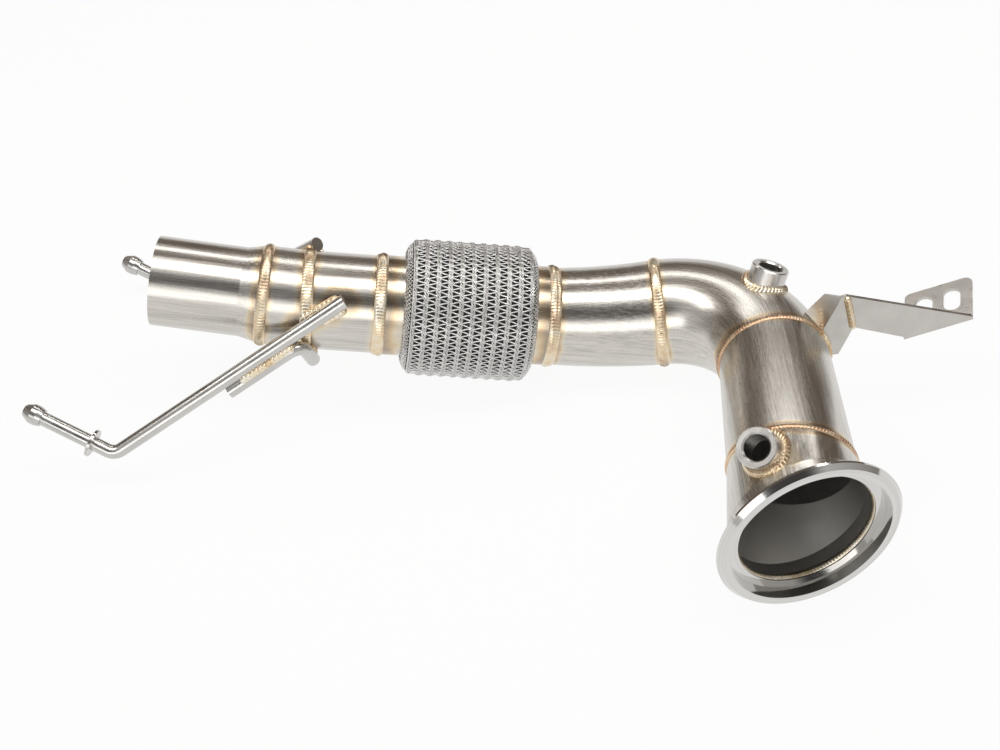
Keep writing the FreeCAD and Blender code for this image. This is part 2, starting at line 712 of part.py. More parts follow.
def bracket_base():
    """The folded foot of the bracket: a leg in line with the arm and a wing folded back along the pipe."""
    foot = sheet_point(BASE_FOLD_FOOT)
    top = sheet_point(BASE_FOLD_TOP)
    leg = plate([foot, top] + [sheet_point(pair) for pair in BASE_LEG], Y * SHEET)
    fold = unit(top - foot)
    across = unit(Y.cross(fold)) * -1
    wing_way = spun(across, fold, BASE_WING_FOLD)
    if wing_way.y < 0:
        wing_way = spun(across, fold, -BASE_WING_FOLD)
    wing_top = top - fold * BASE_WING_TOP_DROP + wing_way * BASE_WING_TOP_WIDTH
    thickness = unit(fold.cross(wing_way)) * SHEET
    if thickness.y < 0:
        thickness = thickness * -1
    wing = plate([foot, top, wing_top, foot + wing_way * BASE_WING_WIDTH], thickness)
    return leg.fuse(wing).cut(elbow_solid()).cut(inlet_solid()).removeSplitter()


def bracket_arm():
    """The arm: an upright tapering strip with a slotted tab folded back from its lower edge."""
    gap = X * ROD_GAP
    tip = sheet_point(ARM_TOP_END)
    fold_start = sheet_point(ARM_FOLD_START)
    joint = [sheet_point(BASE_JOINT_FOOT) + gap, sheet_point(BASE_JOINT_TOP) + gap]
    strip = plate(joint + [tip, fold_start], Y * SHEET)
    fold = unit(tip - fold_start)
    sweep = math.radians(TAB_SWEEP)
    tab_way = unit(Y * math.cos(sweep) + fold * math.sin(sweep))
    reach = tab_way * (TAB_WIDTH / math.cos(sweep))
    down = unit(Y.cross(fold)) * -SHEET
    if down.z > 0:
        down = down * -1
    tab = plate([fold_start, tip, tip + reach, fold_start + reach], down)
    corners = [edge for edge in tab.Edges if abs(unit(edge.tangentAt(0)).dot(unit(down))) > 0.999
               and edge.CenterOfMass.y > tip.y + TAB_WIDTH / 2]
    tab = tab.makeFillet(TAB_CORNER, corners)
    for place in (SLOT_FIRST, SLOT_FIRST + SLOT_SPACING):
        tab = tab.cut(slot_cutter(slot_middle(fold_start, fold, tab_way, place), fold, tab_way, down))
    return strip.fuse(tab).removeSplitter()


def slot_middle(fold_start, fold, tab_way, place):
    """The middle of a slot, at a place along the tab's fold."""
    return fold_start + fold * place + tab_way * (SLOT_ACROSS / math.cos(math.radians(TAB_SWEEP)))


def slot_cutter(middle, fold, tab_way, down):
    """The cutter of one rounded slot through the tab."""
    half = (SLOT_LENGTH - SLOT_WIDTH) / 2
    through = down * 4
    start = middle - down * 2
    side = unit(tab_way.cross(down))
    left = middle - tab_way * half
    right = middle + tab_way * half
    radius = SLOT_WIDTH / 2
    block = plate([left - side * radius - down * 2, right - side * radius - down * 2,
                   right + side * radius - down * 2, left + side * radius - down * 2], through)
    ends = [Part.makeCylinder(radius, through.Length, place - down * 2, down) for place in (left, right)]
    return block.fuse(ends[0]).fuse(ends[1])


def bracket_base_weld(raised_elbow, raised_inlet):
    """The bead along the bracket's leg where it meets the pipe, on the side that shows."""
    foot = sheet_point(BASE_FOLD_FOOT)
    slab = plate([foot, sheet_point(BASE_FOLD_TOP)] + [sheet_point(pair) for pair in BASE_LEG],
                 Y * -BASE_BEAD_WIDTH)
    bead = raised_elbow.common(slab).fuse(raised_inlet.common(slab))
    return bead.cut(elbow_solid()).cut(inlet_solid()).removeSplitter()


def bracket_shadow():
    """The space under the bracket's foot, where the bead between the elbow and the cone stops."""
    pairs = (BASE_INNER, BASE_SHADOW, BASE_FOLD_TOP, BASE_JOINT_FOOT, BASE_TOE)
    start = Y * -BASE_BEAD_WIDTH
    return plate([sheet_point(pair) + start for pair in pairs], Y * BASE_SHADOW_DEPTH)


def bracket_arm_weld():
    """The bead across the joint between the bracket's foot and its arm, on the side that shows."""
    heel = sheet_point(BASE_JOINT_FOOT)
    top = sheet_point(BASE_JOINT_TOP)
    inset = unit(top - heel) * ARM_BEAD_INSET
    bead = bar(heel + inset, top - inset, FILLET_BEAD_RADIUS)
    return bead.cut(bracket_base()).cut(bracket_arm())


def ring_weld(ring, neighbours, width=BEAD_WIDTH):
    """A bead round a joint, trimmed to the pieces that it joins."""
    bead = cap_bead(ring, width, BEAD_HEIGHT, BEAD_ROOT)
    for piece in neighbours:
        bead = bead.cut(piece)
    return bead


def all_pieces():
    """Every piece of the downpipe, by name."""
    collar, mitre, outlet, flare, end = outlet_rings()
    top, low, shoulder, hub = inlet_rings()
    reducer = reducer_rings()
    upper, lower = bung_frames()
    contact, way, front_points = front_hanger()
    contact, way, rear_points = rear_hanger()
    raised_elbow = elbow_solid(-BUNG_WELD_HEIGHT)
    raised_inlet = solid_run([top, low, shoulder, hub], -BUNG_WELD_HEIGHT)
    front_collar = Ring(X * FRONT_COLLAR_END, X, MAIN_RADIUS + COLLAR_RAISE)
    rear_collar = Ring(X * REAR_COLLAR_END, X, MAIN_RADIUS + COLLAR_RAISE)
    bore = flange_face().moved(-INNER_BEAD_PLACE, FLANGE_BORE_RADIUS)
    pieces = {
        "outlet_pipe": outlet_pipe(),
        "mitre_ring": mitre_ring(),
        "hanger_pipe": hanger_pipe(),
        "rear_flex_collar": flex_collar(REAR_COLLAR_END),
        "front_flex_collar": flex_collar(FRONT_COLLAR_END),
        "flex_braid": flex_braid(),
        "flex_bellows": flex_bellows(),
        "flex_liner": flex_liner(),
        "reducer_pipe": reducer_pipe(),
        "elbow_pipe": elbow_pipe(),
        "inlet_cone": inlet_cone(),
        "inlet_neck": inlet_neck(),
        "vband_flange": vband_flange(),
        "upper_sensor_bung": sensor_bung(upper),
        "lower_sensor_bung": sensor_bung(lower),
        "front_hanger_rod": hanger_rod(front_points),
        "front_hanger_tip": hanger_tip(front_points),
        "front_hanger_washer": hanger_washer(front_points),
        "front_brace_rod": rod(brace_points()),
        "rear_hanger_rod": hanger_rod(rear_points),
        "rear_hanger_tip": hanger_tip(rear_points),
        "rear_hanger_washer": hanger_washer(rear_points),
        "bracket_base": bracket_base(),
        "bracket_arm": bracket_arm(),
        "weld_upper_bung": bung_weld(upper, elbow_solid(), raised_elbow),
        "weld_lower_bung": bung_weld(lower, inlet_solid(), raised_inlet),
        "weld_front_brace": front_brace_weld(),
        "weld_bracket_base": bracket_base_weld(raised_elbow, raised_inlet),
        "weld_bracket_arm": bracket_arm_weld(),
        "weld_flange": cap_bead(bore, INNER_BEAD_WIDTH, -INNER_BEAD_HEIGHT, 0),
    }
    collar_solid = Part.makeCylinder(MAIN_RADIUS + COLLAR_RAISE, FRONT_COLLAR_END - REAR_COLLAR_END,
                                     X * REAR_COLLAR_END, X)
    pieces["weld_outlet"] = ring_weld(outlet, [solid_run([end, flare, outlet]), solid_run([outlet, mitre])])
    rod_notch = rod(rear_points, ROD_BEND_RADIUS, ROD_RADIUS + ROD_NOTCH)
    brace_notch = rod(brace_points(), ROD_BEND_RADIUS, ROD_RADIUS + ROD_NOTCH)
    mitre_joint = [solid_run([outlet, mitre]), solid_run([mitre, collar]), rod_notch, brace_notch]
    mitre_bead = ring_weld(mitre, mitre_joint)
    pieces["weld_mitre"] = mitre_bead
    pieces["weld_flex_rear"] = ring_weld(rear_collar, [solid_run([mitre, collar]), collar_solid])
    pieces["weld_flex_front"] = ring_weld(front_collar, [solid_run(reducer), collar_solid])
    elbow_joint = reducer[-1].moved(0, ELBOW_RADIUS + ELBOW_BEAD_LIFT)
    pieces["weld_elbow"] = cap_bead(elbow_joint, BEAD_WIDTH, BEAD_HEIGHT, 0)
    cone_joint = Ring(top.middle, top.along + unit(low.middle - top.middle), ELBOW_RADIUS + CONE_BEAD_LIFT)
    pieces["weld_cone"] = cap_bead(cone_joint, THIN_BEAD_WIDTH, BEAD_HEIGHT, 0).cut(bracket_shadow())
    neck_joint = [solid_run([top, low]), solid_run([low, shoulder, hub]),
                  bung_cutter(lower, BUNG_RADIUS + BUNG_WELD_WIDTH)]
    pieces["weld_neck"] = ring_weld(low, neck_joint, THIN_BEAD_WIDTH)
    pieces["weld_front_hanger"] = front_hanger_weld(mitre_bead)
    pieces["weld_rear_hanger"] = rear_hanger_weld(mitre_bead)
    pieces["weld_brace_foot"] = brace_foot_weld(mitre_bead)
    return pieces


def laid_down():
    """The placement that lays the part down and puts the middle of the outlet's end at the origin."""
    spin = FreeCAD.Rotation(Y, LAY_PITCH).multiply(FreeCAD.Rotation(X, LAY_ROLL))
    collar, mitre, outlet, flare, end = outlet_rings()
    return FreeCAD.Placement(spin.multVec(end.middle) * -1, spin)


def main():
    os.makedirs("parts", exist_ok=True)
    placement = laid_down()
    for name, shape in all_pieces().items():
        solid = shape.copy()
        solid.Placement = placement.multiply(solid.Placement)
        solid.exportStep("parts/" + name + ".step")


main()
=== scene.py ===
"""Dresses the packed downpipe: brushed steel with heat tint, rippled weld beads and a knitted wire sleeve."""

import math

import bmesh
import bpy
import numpy as np
from mathutils import Matrix, Vector
from mathutils.bvhtree import BVHTree


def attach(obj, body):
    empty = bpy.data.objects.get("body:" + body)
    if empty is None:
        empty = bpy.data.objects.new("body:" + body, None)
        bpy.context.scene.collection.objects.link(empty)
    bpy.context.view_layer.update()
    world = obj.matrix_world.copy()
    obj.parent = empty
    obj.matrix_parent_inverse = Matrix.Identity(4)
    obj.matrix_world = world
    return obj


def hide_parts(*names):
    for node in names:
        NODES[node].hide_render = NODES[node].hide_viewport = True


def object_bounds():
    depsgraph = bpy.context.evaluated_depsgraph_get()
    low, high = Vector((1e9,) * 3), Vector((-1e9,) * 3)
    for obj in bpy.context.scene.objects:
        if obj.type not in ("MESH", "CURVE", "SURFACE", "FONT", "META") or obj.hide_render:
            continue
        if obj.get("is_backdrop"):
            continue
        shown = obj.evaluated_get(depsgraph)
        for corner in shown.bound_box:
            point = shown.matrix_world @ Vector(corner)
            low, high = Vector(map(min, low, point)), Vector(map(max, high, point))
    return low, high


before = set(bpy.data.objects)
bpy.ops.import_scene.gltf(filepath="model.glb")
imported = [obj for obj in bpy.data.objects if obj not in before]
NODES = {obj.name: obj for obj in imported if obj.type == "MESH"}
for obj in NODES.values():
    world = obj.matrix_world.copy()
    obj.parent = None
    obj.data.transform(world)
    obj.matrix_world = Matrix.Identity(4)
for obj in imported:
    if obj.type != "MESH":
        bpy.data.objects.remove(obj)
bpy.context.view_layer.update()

# The photograph's camera, in the row's frame, in metres
CAMERA_PLACE = Vector((0.27586, -0.77244, 0.71823))
CAMERA_BACK = Vector((0.03565, -0.67662, 0.73547))
CAMERA_UP = Vector((0.06317, 0.73599, 0.67404))
CAMERA_LENS = 54.0

# Weld beads, in metres
RIPPLE_PITCH = 0.0023
RIPPLE_DEPTH = 0.00075
RING_BEAD_HEIGHT = 0.0012
THIN_BEAD_WIDTH = 0.0042
THIN_BEAD_HEIGHT = 0.0008
BUNG_BEAD_RADIUS = 0.0170
BUNG_BEAD_HEIGHT = 0.0024
PAD_PITCH = 0.0034
PAD_DEPTH = 0.0011
PAD_SUNK = 0.45
PAD_END = 0.6
PAD_SAMPLES_PER_RIPPLE = 10
BEAD_ACROSS = 10
SAMPLES_PER_RIPPLE = 6
BEAD_WANDER = ((0.12, 5), (0.07, 17))
BEAD_SUNK = 0.0003
SKIN_SEARCH = 0.012
SKIN_REACH = 0.03
SKIN_STEPS = 180
BUNG_BEAD_BULGE = 0.45
BUNG_BEAD_PITCH = RIPPLE_PITCH * 1.2
BUNG_BEAD_DEPTH = RIPPLE_DEPTH * 1.6
BUNG_CLEAR = 0.0004
BUNG_OVERLAP = 0.0002
BUNG_SEARCH = 0.03
BUNG_REACH = 0.08

# Knitted sleeve, in metres
BRAID_HALF = 0.047
BRAID_RADIUS = 0.0486
BRAID_CORNER = 0.011
BRAID_MOUTH = 0.0373
BRAID_LIP = 0.002
CORNER_STEPS = 12
SLOPE_STEP = 0.0002
RIB_PITCH = 0.0082
RIB_COUNT = 11
RIB_RISE = 0.0009
WIRE_RADIUS = 0.00038
STITCHES = 62
SAMPLES_PER_STITCH = 8
WIRE_SIDES = 4
RIB_WIRES = (-0.00125, -0.0005, 0.0005, 0.00125)
RIB_WAVER = 0.0002
RIB_SHIFT = 4000
RIB_ROUNDING = 0.35
LOOP_SWING = 0.0034
LOOP_SHARPNESS = 0.12
LOOP_STRANDS = (-0.0005, 0.0005)
LOOP_DIP = 0.0005
LOOP_RISE = 0.0009
END_START = 0.0012
END_PITCH = 0.0021
END_MARGIN = 0.0018
END_SWING = 0.00105
END_WAVER = 0.00015
END_SINK = 0.0001
WIRE_CLEAR = 0.0002
# The rings across the sleeve's ends and the ribbed tube under the wires are painted shade: near-black sheets
# where the sleeve's inside is in shade
SHADE_RING_INSET = 0.0004
SHADE_RING_STEPS = 160
SHADE_TUBE_DROP = 0.0012
SHADE_TUBE_WAVE = 0.0009
SHADE_TUBE_STEPS = 200
SHADE_TUBE_SIDES = 120

# Floor and room. The room's tones are given with the share of the way from front to back
FLOOR_SIZE = 6
FLOOR_GAP = 0.0002
FLOOR_COLOUR = (0.80, 0.79, 0.78, 1)
FLOOR_ROUGHNESS = 0.8
FLOOR_WHITE = 0.93
ROOM_FRONT = (0.30, (0.62, 0.61, 0.60, 1))
ROOM_BACK = (0.62, (0.16, 0.13, 0.105, 1))
ROOM_BY_CAMERA = (0.07, 0.065, 0.065, 1)
ROOM_BY_CAMERA_FROM = 0.80
ROOM_BY_CAMERA_TO = 0.97

# Lamps: place from the part's middle in metres, length and depth in metres, and power in watts
LAMPS = {
    "top_lamp": ((0.0, 0.05, 1.10), 2.2, 0.40, 11),
    "front_lamp": ((-0.2, -1.30, 0.55), 1.6, 0.6, 6),
    "back_lamp": ((0.1, 1.0, 0.95), 1.8, 0.12, 4),
}


def points_of(node):
    """The places of a node's vertices."""
    mesh = NODES[node].data
    flat = np.empty(len(mesh.vertices) * 3)
    mesh.vertices.foreach_get("co", flat)
    return flat.reshape(-1, 3)


def ring_of(node):
    """The middle, axis and mean radius of a round piece, worked out from its vertices."""
    points = points_of(node)
    middle = points.mean(axis=0)
    _, _, ways = np.linalg.svd(points - middle, full_matrices=False)
    flat = points - middle
    spreads = [np.abs(flat @ way).max() for way in ways]
    axis = ways[int(np.argmin(spreads))] if min(spreads) < 0.5 * max(spreads) else ways[0]
    return fitted_ring(points, axis)


def fitted_ring(points, axis):
    """The middle, axis and mean radius of points spread round a known axis."""
    axis = axis / np.linalg.norm(axis)
    side = np.cross(axis, [0.3, 0.4, 0.86])
    side /= np.linalg.norm(side)
    other = np.cross(axis, side)
    across = points @ side
    up = points @ other
    sums = np.c_[2 * across, 2 * up, np.ones(len(points))]
    answer = np.linalg.lstsq(sums, across ** 2 + up ** 2, rcond=None)[0]
    along = points @ axis
    middle = side * answer[0] + other * answer[1] + axis * (along.min() + along.max()) / 2
    radius = math.sqrt(answer[2] + answer[0] ** 2 + answer[1] ** 2)
    return Vector(middle), Vector(axis), radius


def long_axis(node):
    """The middle and the direction of a straight piece along its length."""
    points = points_of(node)
    middle = points.mean(axis=0)
    _, _, ways = np.linalg.svd(points - middle, full_matrices=False)
    return Vector(middle), Vector(ways[0])


def grid_mesh(name, grid, closed_round, closed_across):
    """An object from a grid of points, smooth shaded."""
    rounds, across, _ = grid.shape
    index = np.arange(rounds * across).reshape(rounds, across)
    if closed_round:
        index = np.vstack([index, index[:1]])
    if closed_across:
        index = np.hstack([index, index[:, :1]])
    quads = np.stack([index[:-1, :-1], index[:-1, 1:], index[1:, 1:], index[1:, :-1]], axis=-1)
    return mesh_object(name, grid.reshape(-1, 3), quads.reshape(-1, 4))


def mesh_object(name, points, quads):
    """A smooth shaded object from points and four-sided faces."""
    mesh = bpy.data.meshes.new(name)
    mesh.vertices.add(len(points))
    mesh.vertices.foreach_set("co", np.asarray(points, dtype=float).ravel())
    mesh.loops.add(len(quads) * 4)
    mesh.loops.foreach_set("vertex_index", np.asarray(quads, dtype=int).ravel())
    mesh.polygons.add(len(quads))
    mesh.polygons.foreach_set("loop_start", np.arange(len(quads)) * 4)
    mesh.polygons.foreach_set("loop_total", np.full(len(quads), 4))
    mesh.update(calc_edges=True)
    mesh.validate()
    mesh.shade_smooth()
    made = bpy.data.objects.new(name, mesh)
    bpy.context.scene.collection.objects.link(made)
    fix = bmesh.new()
    fix.from_mesh(mesh)
    bmesh.ops.recalc_face_normals(fix, faces=fix.faces)
    fix.to_mesh(mesh)
    fix.free()
    return made


# Materials

STEEL = (0.60, 0.573, 0.53, 1)
STRAW = (0.74, 0.63, 0.43, 1)
COPPER = (0.58, 0.43, 0.27, 1)
DUSK = (0.38, 0.31, 0.23, 1)
INSIDE = (0.50, 0.49, 0.47, 1)
INSIDE_LIMIT = -0.005
INSIDE_ROUGHER = 0.18

# Scales of the noise textures, and the depth of the scratches in metres
FINE_STREAKS = 900.0
BROAD_STREAKS = 160.0
STEEL_PATCHES = 14.0
HEAT_PATCHES = 60.0
HEAT_UNEVEN = 0.9
WELD_PATCHES = 70.0
WELD_SPECKS = 900.0
SCRATCH_STRENGTH = 0.25
SCRATCH_DEPTH = 0.00004


class Nodes:
    """Short calls that add shader nodes and join them."""

    def __init__(self, name):
        self.material = bpy.data.materials.new(name)
        self.material.use_nodes = True
        self.tree = self.material.node_tree
        self.shader = self.tree.nodes["Principled BSDF"]
        self.place = self.add("ShaderNodeTexCoord").outputs["Object"]

    def add(self, kind, **values):
        node = self.tree.nodes.new(kind)
        for key, value in values.items():
            setattr(node, key, value)
        return node

    def join(self, source, target):
        if hasattr(source, "is_linked"):
            self.tree.links.new(source, target)
        else:
            target.default_value = source

    def vector(self, operation, first, second=None):
        node = self.add("ShaderNodeVectorMath", operation=operation)
        self.join(first, node.inputs[0])
        if second is not None:
            self.join(second, node.inputs["Scale"] if operation == "SCALE" else node.inputs[1])
        return node.outputs["Value"] if operation in ("DOT_PRODUCT", "LENGTH") else node.outputs["Vector"]

    def maths(self, operation, first, second=None, clamp=False):
        node = self.add("ShaderNodeMath", operation=operation, use_clamp=clamp)
        self.join(first, node.inputs[0])
        if second is not None:
            self.join(second, node.inputs[1])
        return node.outputs[0]

    def noise(self, place, scale, detail=3.0, rough=0.55):
        node = self.add("ShaderNodeTexNoise")
        self.join(place, node.inputs["Vector"])
        node.inputs["Scale"].default_value = scale
        node.inputs["Detail"].default_value = detail
        node.inputs["Roughness"].default_value = rough
        return node.outputs["Fac"]

    def ramp(self, factor, stops):
        node = self.add("ShaderNodeValToRGB")
        self.join(factor, node.inputs["Fac"])
        ramp = node.color_ramp
        while len(ramp.elements) < len(stops):
            ramp.elements.new(0.5)
        for element, (at, colour) in zip(ramp.elements, stops):
            element.position = at
            element.color = colour
        return node.outputs["Color"]

    def spread(self, value, low, high, to_low, to_high):
        node = self.add("ShaderNodeMapRange")
        self.join(value, node.inputs["Value"])
        for key, number in (("From Min", low), ("From Max", high), ("To Min", to_low), ("To Max", to_high)):
            node.inputs[key].default_value = number
        return node.outputs["Result"]

    def mix(self, factor, first, second, blend="MIX"):
        node = self.add("ShaderNodeMix", data_type="RGBA", blend_type=blend)
        self.join(factor, node.inputs[0])
        self.join(first, node.inputs[6])
        self.join(second, node.inputs[7])
        return node.outputs[2]

    def bump(self, height, strength, distance):
        node = self.add("ShaderNodeBump")
        self.join(height, node.inputs["Height"])
        node.inputs["Strength"].default_value = strength
        node.inputs["Distance"].default_value = distance
        self.join(node.outputs["Normal"], self.shader.inputs["Normal"])


def grain_along(kit, way, squeeze=0.02):
    """Coordinates squeezed along a direction, so that noise becomes long streaks."""
    along = kit.vector("DOT_PRODUCT", kit.place, tuple(way))
    drawn = kit.vector("SCALE", tuple(way), kit.maths("MULTIPLY", along, 1 - squeeze))
    return kit.vector("SUBTRACT", kit.place, drawn)


def grain_round(kit, middle, axis, squeeze=0.02):
    """Coordinates squeezed round an axis, so that noise becomes streaks round a bend or a turned face."""
    off = kit.vector("SUBTRACT", kit.place, tuple(middle))
    height = kit.vector("DOT_PRODUCT", off, tuple(axis))
    level = kit.vector("SUBTRACT", off, kit.vector("SCALE", tuple(axis), height))
    radius = kit.vector("LENGTH", level)
    join = kit.add("ShaderNodeCombineXYZ")
    kit.join(radius, join.inputs["X"])
    kit.join(height, join.inputs["Y"])
    swirl = kit.vector("DOT_PRODUCT", level, tuple(axis.orthogonal().normalized()))
    kit.join(kit.maths("MULTIPLY", swirl, squeeze), join.inputs["Z"])
    return join.outputs["Vector"]


def heat_near(kit, seams):
    """How hot the steel was by each weld: 1 at a seam and 0 at its reach, over all the seams."""
    hottest = None
    for kind, place, way, reach, half in seams:
        off = kit.vector("SUBTRACT", kit.place, tuple(place))
        if kind == "ring":
            gap = kit.maths("ABSOLUTE", kit.vector("DOT_PRODUCT", off, tuple(way)))
        elif kind == "line":
            along = kit.vector("DOT_PRODUCT", off, tuple(way))
            held = kit.add("ShaderNodeClamp")
            kit.join(along, held.inputs["Value"])
            held.inputs["Min"].default_value = -half
            held.inputs["Max"].default_value = half
            rest = kit.vector("SUBTRACT", off, kit.vector("SCALE", tuple(way), held.outputs["Result"]))
            gap = kit.vector("LENGTH", rest)
        else:
            gap = kit.vector("LENGTH", off)
        uneven = kit.maths("SUBTRACT", kit.noise(kit.place, HEAT_PATCHES, 2.0), 0.5)
        wobble = kit.maths("MULTIPLY", uneven, reach * HEAT_UNEVEN)
        near = kit.spread(kit.maths("ADD", gap, wobble), reach, 0.0, 0.0, 1.0)
        hottest = near if hottest is None else kit.maths("MAXIMUM", hottest, near)
    return hottest


def inside_of(kit, middle, axis):
    """1 on faces that look toward an axis, such as a pipe's inside, and 0 on the rest."""
    off = kit.vector("SUBTRACT", kit.place, tuple(middle))
    height = kit.vector("DOT_PRODUCT", off, tuple(axis))
    radial = kit.vector("SUBTRACT", off, kit.vector("SCALE", tuple(axis), height))
    facing = kit.vector("DOT_PRODUCT", radial, kit.add("ShaderNodeNewGeometry").outputs["True Normal"])
    return kit.maths("LESS_THAN", facing, INSIDE_LIMIT)


def steel(name, grain, seams, base=STEEL, rough=(0.20, 0.32), streak=0.12, tint=1.0, hollow=None):
    """Brushed stainless steel with streaks along its grain, fine scratches and heat tint by its welds."""
    kit = Nodes(name)
    streaks = grain(kit)
    fine = kit.noise(streaks, FINE_STREAKS, 4.0, 0.6)
    broad = kit.noise(streaks, BROAD_STREAKS, 3.0, 0.5)
    patch = kit.noise(kit.place, STEEL_PATCHES, 2.0)
    dark = tuple(channel * (1 - 2.4 * streak) for channel in base[:3]) + (1,)
    light = tuple(min(1.0, channel * (1 + streak)) for channel in base[:3]) + (1,)
    brushed = kit.maths("ADD", kit.maths("MULTIPLY", fine, 0.7), kit.maths("MULTIPLY", broad, 0.3))
    colour = kit.ramp(brushed, [(0.30, dark), (0.62, light)])
    if seams:
        heat = heat_near(kit, seams)
        heat_colour = kit.ramp(heat, [(0.0, light), (0.28, STRAW), (0.50, COPPER), (0.70, DUSK)])
        share = kit.maths("MULTIPLY", kit.spread(heat, 0.0, 0.45, 0.0, 0.8), tint)
        colour = kit.mix(share, colour, heat_colour)
    level = kit.maths("ADD", kit.maths("MULTIPLY", fine, 0.6), kit.maths("MULTIPLY", patch, 0.4))
    gloss = kit.spread(level, 0.3, 0.7, *rough)
    if hollow:
        inside = inside_of(kit, *hollow)
        colour = kit.mix(inside, colour, INSIDE)
        gloss = kit.maths("ADD", gloss, kit.maths("MULTIPLY", inside, INSIDE_ROUGHER))
    kit.join(colour, kit.shader.inputs["Base Color"])
    kit.shader.inputs["Metallic"].default_value = 1.0
    kit.join(gloss, kit.shader.inputs["Roughness"])
    kit.bump(fine, SCRATCH_STRENGTH, SCRATCH_DEPTH)
    return kit.material


def plain_metal(name, base, rough, scale=70.0):
    """Plain metal with faint variation in tone and gloss."""
    kit = Nodes(name)
    tone = kit.noise(kit.place, scale, 2.0)
    dark = tuple(channel * 0.90 for channel in base[:3]) + (1,)
    kit.join(kit.ramp(tone, [(0.3, dark), (0.7, base)]), kit.shader.inputs["Base Color"])
    kit.shader.inputs["Metallic"].default_value = 1.0
    gloss = kit.spread(kit.noise(kit.place, scale * 1.4, 1.0), 0.3, 0.7, *rough)
    kit.join(gloss, kit.shader.inputs["Roughness"])
    return kit.material


def weld_metal(name, first, second, third, strength=0.20, height=0.00005, scale=1400.0):
    """A weld bead's metal, in patches of three tints, with a fine rough skin."""
    kit = Nodes(name)
    patch = kit.noise(kit.place, WELD_PATCHES, 3.0, 0.6)
    colour = kit.ramp(patch, [(0.34, first), (0.5, second), (0.66, third)])
    kit.join(colour, kit.shader.inputs["Base Color"])
    kit.shader.inputs["Metallic"].default_value = 1.0
    gloss = kit.spread(kit.noise(kit.place, WELD_SPECKS), 0.3, 0.7, 0.22, 0.42)
    kit.join(gloss, kit.shader.inputs["Roughness"])
    kit.bump(kit.noise(kit.place, scale, 1.5), strength, height)
    return kit.material


GOLD_WELD = weld_metal("gold_weld", (0.66, 0.48, 0.33, 1), (0.80, 0.66, 0.46, 1), (0.82, 0.76, 0.64, 1))
COPPER_WELD = weld_metal("copper_weld", (0.58, 0.34, 0.22, 1), (0.72, 0.50, 0.32, 1), (0.80, 0.66, 0.48, 1))
FILLET_WELD = weld_metal("fillet_weld", (0.60, 0.40, 0.24, 1), (0.80, 0.65, 0.42, 1), (0.82, 0.76, 0.64, 1),
                         1.0, 0.0012, 520.0)
PAD_WELD = weld_metal("pad_weld", (0.74, 0.56, 0.36, 1), (0.84, 0.74, 0.56, 1), (0.86, 0.82, 0.74, 1))
SILVER_WELD = weld_metal("silver_weld", (0.50, 0.41, 0.27, 1), (0.64, 0.57, 0.45, 1), (0.74, 0.71, 0.64, 1))


def dress(node, material):
    """Gives a CAD piece its material."""
    piece = NODES[node]
    piece.data.materials.clear()
    piece.data.materials.append(material)


def put(made, material, *nodes):
    """Gives a made piece its material, and shows it in place of CAD pieces."""
    made.data.materials.append(material)
    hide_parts(*nodes)
    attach(made, "root")


# Weld beads

def ripple(along, across):
    """The overlapping scales of a bead: height at a place along it, in ripples, and across it, -1 to 1."""
    phase = (along + 0.55 * across ** 2) % 1.0
    return (1 - phase) ** 0.7 - 0.5


def ring_bead(name, node, material, skin_nodes, width, height=RING_BEAD_HEIGHT, inward=False):
    """A rippled bead round a joint, laid on the skins of the pieces it joins."""
    middle, axis, radius = ring_of(node)
    skins = [BVHTree.FromObject(NODES[n], bpy.context.evaluated_depsgraph_get()) for n in skin_nodes]
    ripples = max(12, round(2 * math.pi * radius / RIPPLE_PITCH))
    rounds = ripples * SAMPLES_PER_RIPPLE
    side = axis.orthogonal().normalized()
    other = axis.cross(side)
    shape = np.linspace(-1, 1, BEAD_ACROSS + 1)
    sign = -1 if inward else 1
    skin = np.zeros((SKIN_STEPS, len(shape)))
    for i in range(SKIN_STEPS):
        angle = 2 * math.pi * i / SKIN_STEPS
        way = side * math.cos(angle) + other * math.sin(angle)
        for j, across in enumerate(shape):
            start = middle + axis * (across * width / 2)
            begin = start + way * (radius + sign * SKIN_SEARCH)
            best = None
            for tree in skins:
                hit = tree.ray_cast(begin, way * -sign, SKIN_REACH)
                if hit[0] is not None:
                    reach = (hit[0] - start).dot(way)
                    if best is None or reach * sign > best * sign:
                        best = reach
            skin[i, j] = radius if best is None else best
    turn = np.arange(rounds) / rounds * SKIN_STEPS
    low = np.floor(turn).astype(int) % SKIN_STEPS
    share = (turn % 1.0)[:, None]
    level = skin[low] * (1 - share) + skin[(low + 1) % SKIN_STEPS] * share
    along = np.arange(rounds)[:, None] / SAMPLES_PER_RIPPLE
    turned = along / ripples * 2 * math.pi
    wander = sum(size * np.sin(turned * times) for size, times in BEAD_WANDER)
    crown = 1 - shape[None, :] ** 2
    rise = height * crown ** 0.75 * (1 + wander * 0.4)
    rise += RIPPLE_DEPTH * ripple(along, shape[None, :]) * crown
    radial = level + sign * rise
    angles = np.arange(rounds)[:, None] / rounds * 2 * math.pi
    ways = np.cos(angles)[..., None] * np.array(side) + np.sin(angles)[..., None] * np.array(other)
    offset = (shape[None, :] * width / 2 + wander * width * 0.05)[..., None] * np.array(axis)
    grid = np.array(middle) + offset + ways * radial[..., None]
    put(grid_mesh(name, grid, True, False), material, node)


